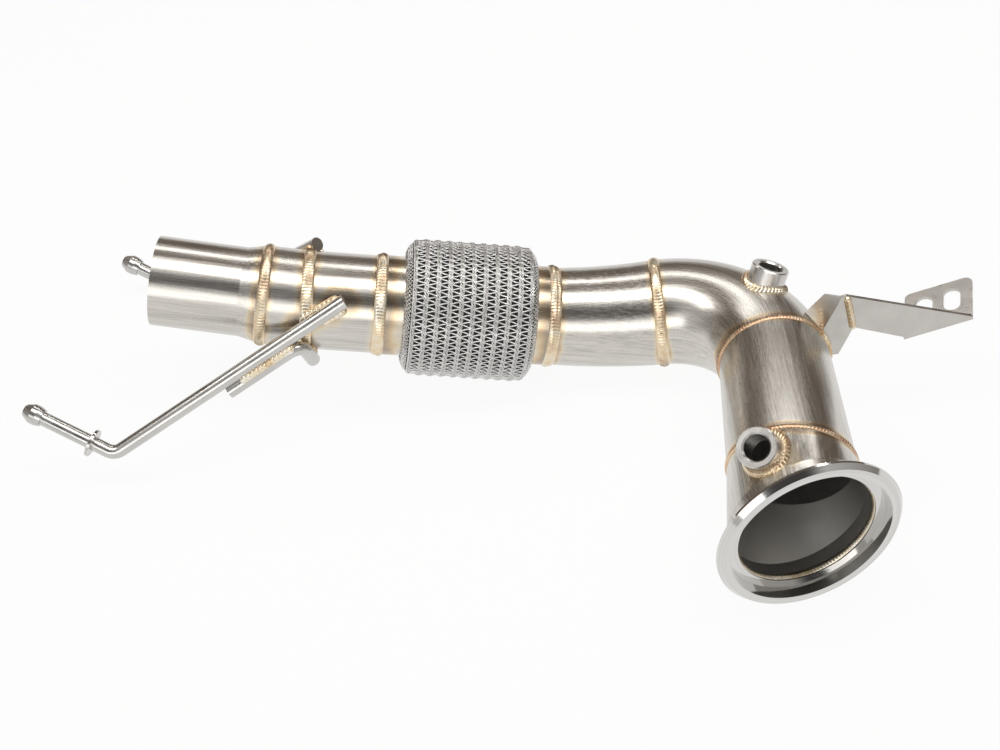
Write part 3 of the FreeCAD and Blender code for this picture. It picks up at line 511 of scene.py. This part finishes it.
def pad_bead(name, node, material, start, end, width, height):
    """A rippled pad between two places, with rounded ends, raised toward the camera's side."""
    length = (end - start).length
    count = max(24, int(length / PAD_PITCH * PAD_SAMPLES_PER_RIPPLE))
    way = (end - start).normalized()
    lift = (CAMERA_BACK - way * CAMERA_BACK.dot(way)).normalized()
    side = way.cross(lift)
    grid = np.zeros((count, BEAD_ACROSS + 1, 3))
    for k, share in enumerate(np.linspace(0, 1, count)):
        place = start.lerp(end, share)
        distance = length * share
        from_end = min(distance, length - distance) / (width * PAD_END)
        taper = math.sqrt(max(0.0, 1 - (1 - min(1.0, from_end)) ** 2))
        for j, across in enumerate(np.linspace(-1, 1, BEAD_ACROSS + 1)):
            crown = math.sqrt(max(0.0, 1 - across ** 2))
            wave = PAD_DEPTH * ripple(distance / PAD_PITCH, np.array(across)) * crown
            aside = across * width / 2 * max(taper, 0.02)
            grid[k, j] = place + side * aside + lift * ((height * crown + wave) * taper)
    put(grid_mesh(name, grid, False, False), material, node)


def straight_beads(name, node, material, sides, width, height):
    """Rippled pads over a straight weld: one with sides (0,), or one on each side of a rod with (1, -1)."""
    middle, way = long_axis(node)
    points = points_of(node)
    across = (points - np.array(middle)) @ np.array(way.cross(CAMERA_BACK).normalized())
    for number, side in enumerate(sides):
        part = points[across * side > 0] if side else points
        along = (part - np.array(middle)) @ np.array(way)
        centre = Vector(part.mean(axis=0))
        centre -= way * (centre - middle).dot(way)
        centre -= CAMERA_BACK * (height * PAD_SUNK)
        start = centre + way * float(along.min())
        end = centre + way * float(along.max())
        pad_bead(name + "_" + str(number + 1), node, material, start, end, width, height)


def bung_bead(name, node, bung, skin_nodes):
    """The rippled fillet round a bung's foot, laid on the pipe's skin."""
    outer = BUNG_BEAD_RADIUS
    height = BUNG_BEAD_HEIGHT
    middle, axis, radius = ring_of_bung(bung)
    trees = [BVHTree.FromObject(NODES[n], bpy.context.evaluated_depsgraph_get()) for n in skin_nodes]
    ripples = round(2 * math.pi * outer / BUNG_BEAD_PITCH)
    rounds = ripples * SAMPLES_PER_RIPPLE
    side = axis.orthogonal().normalized()
    other = axis.cross(side)
    shape = np.linspace(0, 1, BEAD_ACROSS + 1)
    grid = np.zeros((rounds, len(shape), 3))
    for k in range(rounds):
        angle = 2 * math.pi * k / rounds
        way = side * math.cos(angle) + other * math.sin(angle)
        level = []
        for reach in (radius + BUNG_CLEAR, outer):
            begin = middle + way * reach + axis * BUNG_SEARCH
            hits = [tree.ray_cast(begin, -axis, BUNG_REACH)[0] for tree in trees]
            hits = [h for h in hits if h is not None]
            missed = level[-1] if level else 0.0
            level.append(max((h - middle).dot(axis) for h in hits) if hits else missed)
        for j, share in enumerate(shape):
            bulge = math.sin(math.pi * share) * height * BUNG_BEAD_BULGE
            wave = BUNG_BEAD_DEPTH * float(ripple(k / SAMPLES_PER_RIPPLE, np.array(2 * share - 1)))
            wave *= math.sin(math.pi * share)
            reach = radius - BUNG_OVERLAP + (outer - radius + BUNG_OVERLAP) * share
            up = level[0] * (1 - share) + level[1] * share + height * (1 - share)
            up += bulge + wave - BEAD_SUNK * share
            grid[k, j] = middle + way * (reach + wave) + axis * up
    put(grid_mesh(name, grid, True, False), GOLD_WELD, node)


def ring_of_bung(bung):
    """The middle, axis and outer radius of a bung; its axis points out of the pipe."""
    points = points_of(bung)
    middle, axis, _ = axis_by_symmetry(points)
    axis = axis if axis.z > 0 else -axis
    off = points - np.array(middle)
    off -= np.outer(off @ np.array(axis), np.array(axis))
    radius = np.linalg.norm(off, axis=1).max()
    return middle, axis, radius


def axis_by_symmetry(points):
    """The axis of a short turned piece: the direction whose spread differs from the other two."""
    _, spread, ways = np.linalg.svd(points - points.mean(axis=0), full_matrices=False)
    odd = 0 if abs(spread[0] - spread[1]) > abs(spread[1] - spread[2]) else 2
    return fitted_ring(points, ways[odd])


# Places worked out from the frame

ROUND_WELDS = ("weld_outlet", "weld_flex_rear", "weld_flex_front", "weld_elbow", "weld_neck", "weld_flange")
RINGS = {node: ring_of(node) for node in ROUND_WELDS}
RINGS["weld_mitre"] = fitted_ring(points_of("weld_mitre"), np.array(long_axis("hanger_pipe")[1]))
CONE_AXIS = (RINGS["weld_neck"][0] - Vector(points_of("weld_cone").mean(axis=0))).normalized()
RINGS["weld_cone"] = fitted_ring(points_of("weld_cone"), np.array(CONE_AXIS))
UPPER_BUNG = ring_of_bung("upper_sensor_bung")
LOWER_BUNG = ring_of_bung("lower_sensor_bung")


def ring_seam(node, reach):
    """A seam round a pipe: its kind, middle, axis, how far its heat reaches and half its length."""
    return ("ring", RINGS[node][0], RINGS[node][1], reach, 0)


def spot_seam(place, reach):
    """A seam round a small piece."""
    return ("spot", place, Vector((0, 0, 1)), reach, 0)


def line_seam(node, reach):
    """A seam along a straight weld."""
    middle, way = long_axis(node)
    points = points_of(node)
    half = float(np.abs((points - np.array(middle)) @ np.array(way)).max())
    return ("line", middle, way, reach, half)


FLEX_AXIS = (RINGS["weld_flex_front"][0] - RINGS["weld_flex_rear"][0]).normalized()
OUTLET_AXIS = RINGS["weld_outlet"][0].normalized()


def bend_middle(first, last):
    """The middle and the axis of the bend between two rings."""
    turned = first[1].cross(last[1]).normalized()
    sums = np.array([list(first[1]), list(last[1]), list(turned)])
    answers = [first[1].dot(first[0]), last[1].dot(last[0]), turned.dot(first[0])]
    return Vector(np.linalg.solve(sums, answers)), turned


BEND_MIDDLE, BEND_AXIS = bend_middle(RINGS["weld_elbow"], RINGS["weld_cone"])

# Pipes
HANGER_LINE = line_seam("weld_front_hanger", 0.017)
dress("outlet_pipe", steel("outlet_steel", lambda k: grain_along(k, OUTLET_AXIS),
                           [ring_seam("weld_outlet", 0.011)]))
dress("mitre_ring", steel("mitre_steel", lambda k: grain_along(k, FLEX_AXIS),
                          [ring_seam("weld_outlet", 0.009), ring_seam("weld_mitre", 0.010), HANGER_LINE]))
dress("hanger_pipe", steel("hanger_pipe_steel", lambda k: grain_along(k, FLEX_AXIS),
                           [ring_seam("weld_mitre", 0.010), ring_seam("weld_flex_rear", 0.009), HANGER_LINE]))
COLLAR_SEAMS = [ring_seam("weld_flex_rear", 0.020), ring_seam("weld_flex_front", 0.020)]
collar_steel = steel("collar_steel", lambda k: grain_along(k, FLEX_AXIS), COLLAR_SEAMS, tint=1.15)
dress("rear_flex_collar", collar_steel)
dress("front_flex_collar", collar_steel)
dress("reducer_pipe", steel("reducer_steel", lambda k: grain_along(k, FLEX_AXIS),
                            [ring_seam("weld_flex_front", 0.010), ring_seam("weld_elbow", 0.008)]))
dress("elbow_pipe", steel("elbow_steel", lambda k: grain_round(k, BEND_MIDDLE, BEND_AXIS),
                          [ring_seam("weld_elbow", 0.008), ring_seam("weld_cone", 0.007),
                           spot_seam(UPPER_BUNG[0], 0.027), line_seam("weld_bracket_base", 0.014)]))
dress("inlet_cone", steel("cone_steel", lambda k: grain_along(k, CONE_AXIS),
                          [ring_seam("weld_cone", 0.006), ring_seam("weld_neck", 0.007),
                           spot_seam(LOWER_BUNG[0], 0.024)], hollow=(RINGS["weld_neck"][0], CONE_AXIS)))
dress("inlet_neck", steel("neck_steel", lambda k: grain_along(k, CONE_AXIS),
                          [ring_seam("weld_neck", 0.008), spot_seam(LOWER_BUNG[0], 0.026)],
                          hollow=(RINGS["weld_neck"][0], CONE_AXIS)))
FLANGE = fitted_ring(points_of("vband_flange"), np.array(RINGS["weld_flange"][1]))
dress("vband_flange", steel("flange_steel", lambda k: grain_round(k, FLANGE[0], FLANGE[1], 0.004), [],
                            base=(0.64, 0.63, 0.61, 1), rough=(0.06, 0.12), streak=0.05))
bung_steel = plain_metal("bung_steel", (0.62, 0.60, 0.57, 1), (0.22, 0.32))
rod_steel = plain_metal("rod_steel", (0.60, 0.585, 0.56, 1), (0.22, 0.30))
sheet_steel = plain_metal("sheet_steel", (0.56, 0.535, 0.50, 1), (0.26, 0.38))
# Painted shade: the bellows and liner inside the sleeve get a dark, warm steel, darker than the pipes, for
# the shade inside
inner_painted_shade_steel = plain_metal("inner_painted_shade_steel", (0.36, 0.33, 0.29, 1), (0.35, 0.50))
for node in ("upper_sensor_bung", "lower_sensor_bung"):
    dress(node, bung_steel)
for end in ("front", "rear"):
    for piece in ("rod", "tip", "washer"):
        dress(end + "_hanger_" + piece, rod_steel)
dress("front_brace_rod", rod_steel)
for node in ("bracket_base", "bracket_arm"):
    dress(node, sheet_steel)
for node in ("flex_bellows", "flex_liner"):
    dress(node, inner_painted_shade_steel)

# Beads round the joints
ring_bead("bead_outlet", "weld_outlet", GOLD_WELD, ["outlet_pipe", "mitre_ring"], 0.0080)
ring_bead("bead_mitre", "weld_mitre", GOLD_WELD, ["mitre_ring", "hanger_pipe"], 0.0084)
ring_bead("bead_flex_rear", "weld_flex_rear", GOLD_WELD, ["hanger_pipe", "rear_flex_collar"], 0.0082)
ring_bead("bead_flex_front", "weld_flex_front", GOLD_WELD, ["front_flex_collar", "reducer_pipe"], 0.0082)
ring_bead("bead_elbow", "weld_elbow", GOLD_WELD, ["reducer_pipe", "elbow_pipe"], 0.0078)
ring_bead("bead_cone", "weld_cone", COPPER_WELD, ["elbow_pipe", "inlet_cone"],
          THIN_BEAD_WIDTH, THIN_BEAD_HEIGHT)
ring_bead("bead_neck", "weld_neck", COPPER_WELD, ["inlet_cone", "inlet_neck"],
          THIN_BEAD_WIDTH, THIN_BEAD_HEIGHT)
ring_bead("bead_flange", "weld_flange", SILVER_WELD, ["vband_flange", "inlet_neck"],
          0.0044, 0.0012, inward=True)
bung_bead("bead_upper_bung", "weld_upper_bung", "upper_sensor_bung", ["elbow_pipe"])
bung_bead("bead_lower_bung", "weld_lower_bung", "lower_sensor_bung", ["inlet_cone", "inlet_neck"])
straight_beads("bead_front_hanger", "weld_front_hanger", PAD_WELD, (1, -1), 0.0058, 0.0036)
straight_beads("bead_front_brace", "weld_front_brace", PAD_WELD, (0,), 0.0066, 0.0040)
straight_beads("bead_bracket_arm", "weld_bracket_arm", GOLD_WELD, (0,), 0.0054, 0.0032)
for node in ("weld_rear_hanger", "weld_brace_foot", "weld_bracket_base"):
    dress(node, FILLET_WELD)

# Knitted sleeve

def sleeve_outline(drop):
    """The sleeve's side as (place along the flex axis, radius), rounded at both ends, at even steps."""
    corner = BRAID_CORNER
    places = [(-BRAID_HALF + drop, BRAID_MOUTH + BRAID_LIP), (-BRAID_HALF + drop, BRAID_RADIUS - corner)]
    for step in range(1, CORNER_STEPS + 1):
        angle = math.pi / 2 * step / CORNER_STEPS
        places.append((-BRAID_HALF + corner - (corner - drop) * math.cos(angle),
                       BRAID_RADIUS - corner + (corner - drop) * math.sin(angle)))
    return places + [(-place, radius) for place, radius in reversed(places)]


def outline_lookup(drop):
    """Functions that give place and radius from the distance along the outline, and its whole length."""
    line = np.array(sleeve_outline(drop))
    steps = np.linalg.norm(np.diff(line, axis=0), axis=1)
    reach = np.concatenate([[0], np.cumsum(steps)])
    return lambda at: (np.interp(at, reach, line[:, 0]), np.interp(at, reach, line[:, 1])), reach[-1]


def sleeve_point(at, angle, lift, lookup):
    """Points on the sleeve, at a distance along its outline, an angle round it and a lift off it."""
    place, radius = lookup(at)
    ahead, ahead_radius = lookup(at + SLOPE_STEP)
    behind, behind_radius = lookup(at - SLOPE_STEP)
    along, up = ahead - behind, ahead_radius - behind_radius
    size = np.sqrt(along ** 2 + up ** 2)
    size[size == 0] = 1
    place = place - up / size * lift
    radius = radius + along / size * lift
    middle = np.array(FLEX_MIDDLE)
    side = np.array(FLEX_SIDE)
    other = np.array(FLEX_AXIS.cross(FLEX_SIDE))
    return (middle + place[:, None] * np.array(FLEX_AXIS) + (radius * np.cos(angle))[:, None] * side
            + (radius * np.sin(angle))[:, None] * other)


def wires(paths, radius):
    """Round wires along closed paths: all the points and faces of one mesh."""
    points, quads, count = [], [], 0
    for path in paths:
        ahead = np.roll(path, -1, axis=0) - np.roll(path, 1, axis=0)
        ahead /= np.linalg.norm(ahead, axis=1)[:, None]
        out = path - np.array(FLEX_MIDDLE)
        out -= np.outer(out @ np.array(FLEX_AXIS), np.array(FLEX_AXIS))
        out -= (out * ahead).sum(axis=1)[:, None] * ahead
        out /= np.linalg.norm(out, axis=1)[:, None]
        side = np.cross(ahead, out)
        for k in range(WIRE_SIDES):
            turn = 2 * math.pi * k / WIRE_SIDES
            points.append(path + radius * (math.cos(turn) * out + math.sin(turn) * side))
        index = count + np.arange(WIRE_SIDES * len(path)).reshape(WIRE_SIDES, len(path))
        index = np.vstack([index, index[:1]])
        index = np.hstack([index, index[:, :1]])
        corners = [index[:-1, :-1], index[1:, :-1], index[1:, 1:], index[:-1, 1:]]
        quads.append(np.stack(corners, axis=-1).reshape(-1, 4))
        count += WIRE_SIDES * len(path)
    return np.concatenate(points), np.concatenate(quads)


def place_sleeve(made, material):
    """Gives a piece of the sleeve its material and shows it in place of the solid sleeve."""
    made.data.materials.append(material)
    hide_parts("flex_braid")
    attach(made, "root")


def knit():
    """The sleeve: rib wires round it, looped wires between the ribs, and painted shade behind them: a
    near-black ribbed tube, and a near-black ring across each end.
    """
    lookup, length = outline_lookup(WIRE_RADIUS + WIRE_CLEAR)
    start = length / 2 - (RIB_COUNT - 1) / 2 * RIB_PITCH
    samples = STITCHES * SAMPLES_PER_STITCH
    turn = np.arange(samples) / samples * 2 * math.pi
    stitch = np.arange(samples) / SAMPLES_PER_STITCH * 2 * math.pi
    paths = []
    ribs = [start + RIB_PITCH * rib for rib in range(RIB_COUNT)]
    for number, rib in enumerate(ribs):
        for offset in RIB_WIRES:
            wave = RIB_WAVER * np.sin(stitch * 2 + offset * RIB_SHIFT + number)
            rise = RIB_RISE - abs(offset) * RIB_ROUNDING
            paths.append(sleeve_point(rib + offset + wave, turn, rise - WIRE_RADIUS + wave, lookup))
    gaps = [rib + RIB_PITCH / 2 for rib in ribs[:-1]]
    for number, gap in enumerate(gaps):
        loop = stitch + number * math.pi / 2
        swing = np.cos(loop) + LOOP_SHARPNESS * np.cos(3 * loop)
        for strand in LOOP_STRANDS:
            lift = -LOOP_DIP + LOOP_RISE * swing ** 2
            paths.append(sleeve_point(gap + LOOP_SWING * swing + strand, turn, lift, lookup))
    ends = list(np.arange(END_START, start - END_MARGIN, END_PITCH))
    ends += [length - at for at in ends]
    for number, at in enumerate(ends):
        wave = END_SWING * np.sin(stitch * 1.5 + number * math.pi / 2)
        lift = END_WAVER * np.sin(stitch * 2 + number) - END_SINK
        paths.append(sleeve_point(at + wave, turn, lift, lookup))
    kept = np.array_split(np.arange(len(paths)), 2)
    for number, part in enumerate(kept):
        points, quads = wires([paths[k] for k in part], WIRE_RADIUS)
        place_sleeve(mesh_object("sleeve_wires_" + "ab"[number], points, quads), WIRE)
    # Painted shade: a near-black ring across each end of the sleeve
    for number, side in enumerate((-1, 1)):
        turn_end = np.arange(SHADE_RING_STEPS) / SHADE_RING_STEPS * 2 * math.pi
        place = np.array(FLEX_MIDDLE) + side * (BRAID_HALF - SHADE_RING_INSET) * np.array(FLEX_AXIS)
        other = np.array(FLEX_AXIS.cross(FLEX_SIDE))
        ways = np.cos(turn_end)[:, None] * np.array(FLEX_SIDE) + np.sin(turn_end)[:, None] * other
        shade_ring = [place + radius * ways for radius in (BRAID_MOUTH, BRAID_RADIUS - BRAID_CORNER + BRAID_LIP)]
        shade = grid_mesh("sleeve_end_shade_ring_" + "ab"[number], np.stack(shade_ring, axis=1), True, False)
        place_sleeve(shade, PAINTED_SHADE_SHEET)
    # Painted shade: a near-black ribbed tube under the wires, seen through their gaps
    inner, inner_length = outline_lookup(SHADE_TUBE_DROP)
    at = np.linspace(0, inner_length, SHADE_TUBE_STEPS)
    angle = np.arange(SHADE_TUBE_SIDES) / SHADE_TUBE_SIDES * 2 * math.pi
    rib_wave = 0.5 + 0.5 * np.cos((at - start) / RIB_PITCH * 2 * math.pi)
    rib_wave[(at < start) | (at > start + (RIB_COUNT - 1) * RIB_PITCH)] = 1
    lift = rib_wave * SHADE_TUBE_WAVE - SHADE_TUBE_WAVE
    grid = np.stack([sleeve_point(at, np.full(len(at), a), lift, inner) for a in angle])
    place_sleeve(grid_mesh("sleeve_painted_shade_tube", grid, True, False), PAINTED_SHADE_SHEET)


FLEX_MIDDLE = Vector(points_of("flex_braid").min(axis=0) + points_of("flex_braid").max(axis=0)) / 2
FLEX_SIDE = FLEX_AXIS.orthogonal().normalized()
WIRE = plain_metal("bright_wire", (0.88, 0.87, 0.85, 1), (0.24, 0.36), 200.0)
# Painted shade: near-black metal for the sheets under the wires and at the sleeve's ends, not for any wire
PAINTED_SHADE_SHEET = plain_metal("painted_shade_sheet", (0.06, 0.058, 0.056, 1), (0.5, 0.65), 200.0)
knit()

# Light, floor and camera

def studio():
    """A pale floor that looks white, also in the metal, a plain grey room and long soft lamps."""
    low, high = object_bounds()
    middle = (low + high) / 2
    bpy.ops.mesh.primitive_plane_add(size=FLOOR_SIZE, location=(middle.x, middle.y, low.z - FLOOR_GAP))
    floor = bpy.context.object
    floor.name = "floor"
    kit = Nodes("floor_paint")
    kit.shader.inputs["Base Color"].default_value = FLOOR_COLOUR
    kit.shader.inputs["Roughness"].default_value = FLOOR_ROUGHNESS
    glow = kit.add("ShaderNodeEmission")
    glow.inputs["Color"].default_value = (1, 1, 1, 1)
    rays = kit.add("ShaderNodeLightPath")
    blend = kit.add("ShaderNodeMixShader")
    seen = kit.maths("ADD", rays.outputs["Is Camera Ray"], rays.outputs["Is Glossy Ray"])
    seen = kit.maths("ADD", seen, rays.outputs["Is Transmission Ray"], clamp=True)
    kit.join(kit.maths("MULTIPLY", seen, FLOOR_WHITE), blend.inputs["Fac"])
    kit.join(kit.shader.outputs["BSDF"], blend.inputs[1])
    kit.join(glow.outputs["Emission"], blend.inputs[2])
    output = kit.tree.nodes["Material Output"]
    kit.join(blend.outputs["Shader"], output.inputs["Surface"])
    floor.data.materials.append(kit.material)
    floor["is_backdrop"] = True
    grey_room()
    for name, (place, length, depth, power) in LAMPS.items():
        lamp(name, middle + Vector(place), middle, length, depth, power)


def grey_room():
    """Plain light from all round: pale in front, dim behind and dark round the camera."""
    world = bpy.data.worlds.new("studio")
    bpy.context.scene.world = world
    world.use_nodes = True
    tree = world.node_tree
    room = tree.nodes["Background"]
    place = tree.nodes.new("ShaderNodeTexCoord")
    split = tree.nodes.new("ShaderNodeSeparateXYZ")
    span = tree.nodes.new("ShaderNodeMapRange")
    tone = tree.nodes.new("ShaderNodeValToRGB")
    span.inputs["From Min"].default_value = -1
    span.inputs["From Max"].default_value = 1
    for element, (at, colour) in zip(tone.color_ramp.elements, (ROOM_FRONT, ROOM_BACK)):
        element.position = at
        element.color = colour
    tree.links.new(place.outputs["Generated"], split.inputs[0])
    tree.links.new(split.outputs["Y"], span.inputs["Value"])
    tree.links.new(span.outputs["Result"], tone.inputs["Fac"])
    facing = tree.nodes.new("ShaderNodeVectorMath")
    facing.operation = "DOT_PRODUCT"
    facing.inputs[1].default_value = CAMERA_BACK.normalized()
    near = tree.nodes.new("ShaderNodeMapRange")
    near.interpolation_type = "SMOOTHSTEP"
    near.inputs["From Min"].default_value = ROOM_BY_CAMERA_FROM
    near.inputs["From Max"].default_value = ROOM_BY_CAMERA_TO
    shade = tree.nodes.new("ShaderNodeMix")
    shade.data_type = "RGBA"
    shade.inputs[7].default_value = ROOM_BY_CAMERA
    tree.links.new(place.outputs["Generated"], facing.inputs[0])
    tree.links.new(facing.outputs["Value"], near.inputs["Value"])
    tree.links.new(near.outputs["Result"], shade.inputs[0])
    tree.links.new(tone.outputs["Color"], shade.inputs[6])
    tree.links.new(shade.outputs[2], room.inputs["Color"])


def lamp(name, place, target, length, depth, power):
    """A long soft lamp that faces a target."""
    light = bpy.data.lights.new(name, "AREA")
    light.shape = "RECTANGLE"
    light.size = length
    light.size_y = depth
    light.energy = power
    made = bpy.data.objects.new(name, light)
    made.location = place
    made.rotation_mode = "QUATERNION"
    made.rotation_quaternion = (target - place).to_track_quat("-Z", "Y")
    bpy.context.scene.collection.objects.link(made)


def camera():
    """The photograph's camera."""
    data = bpy.data.cameras.new("camera")
    data.lens = CAMERA_LENS
    data.sensor_width = 36
    data.clip_start = 0.01
    made = bpy.data.objects.new("camera", data)
    back = CAMERA_BACK.normalized()
    right = CAMERA_UP.cross(back).normalized()
    up = back.cross(right)
    turn = Matrix((right, up, back)).transposed().to_4x4()
    made.matrix_world = Matrix.Translation(CAMERA_PLACE) @ turn
    bpy.context.scene.collection.objects.link(made)
    bpy.context.scene.camera = made


studio()
camera()
bpy.context.scene.view_settings.view_transform = "Standard"
